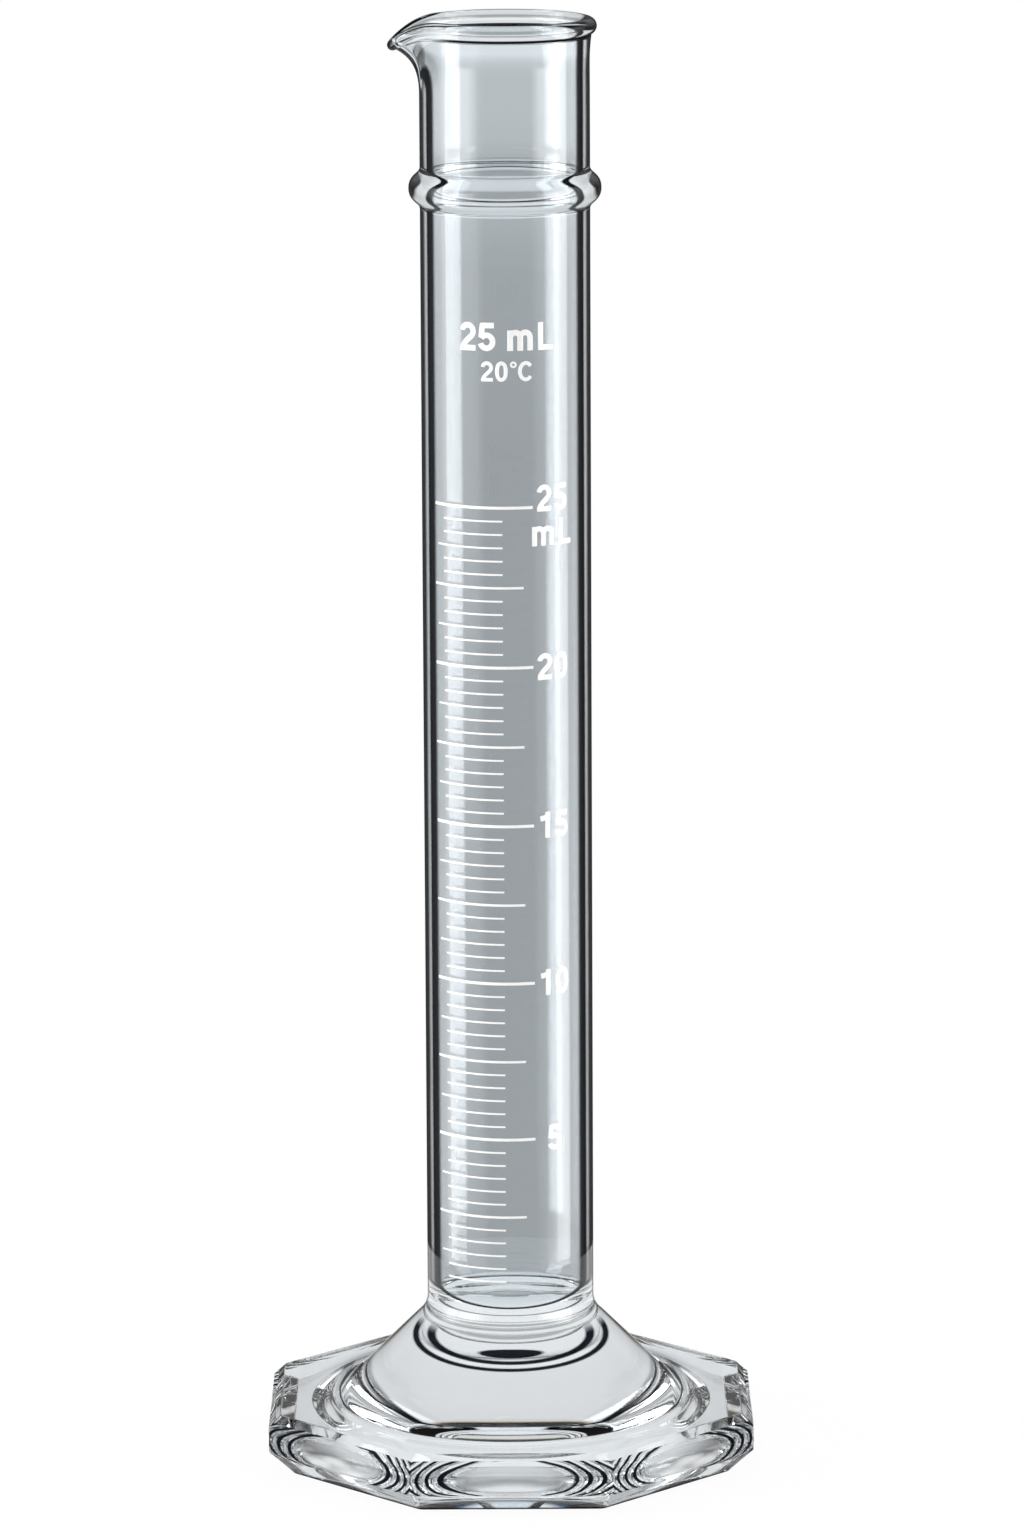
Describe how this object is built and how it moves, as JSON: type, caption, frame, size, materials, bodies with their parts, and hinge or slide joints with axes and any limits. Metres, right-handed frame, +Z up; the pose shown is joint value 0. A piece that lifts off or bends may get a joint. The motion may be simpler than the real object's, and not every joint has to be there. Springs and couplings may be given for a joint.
{
  "type": "graduated cylinder",
  "caption": "Clear glass measuring cylinder with a printed scale, a rolled lip with a pouring spout, a guard ring and an octagonal foot.",
  "frame": {"origin": "on the table under the middle of the octagonal foot, on the axis of the tube", "axes": "+Z up along the tube; the pouring spout points to -X; the printed scale faces -Y"},
  "size_m": [0.0586, 0.0586, 0.1751],
  "materials": {
    "glass": "clear polished",
    "enamel": "fired white enamel"
  },
  "bodies": {
    "root": {"glass_body": "glass", "long_graduations": "enamel", "half_graduations": "enamel", "quarter_graduations": "enamel", "short_graduations": "enamel"}
  },
  "joints": []
}
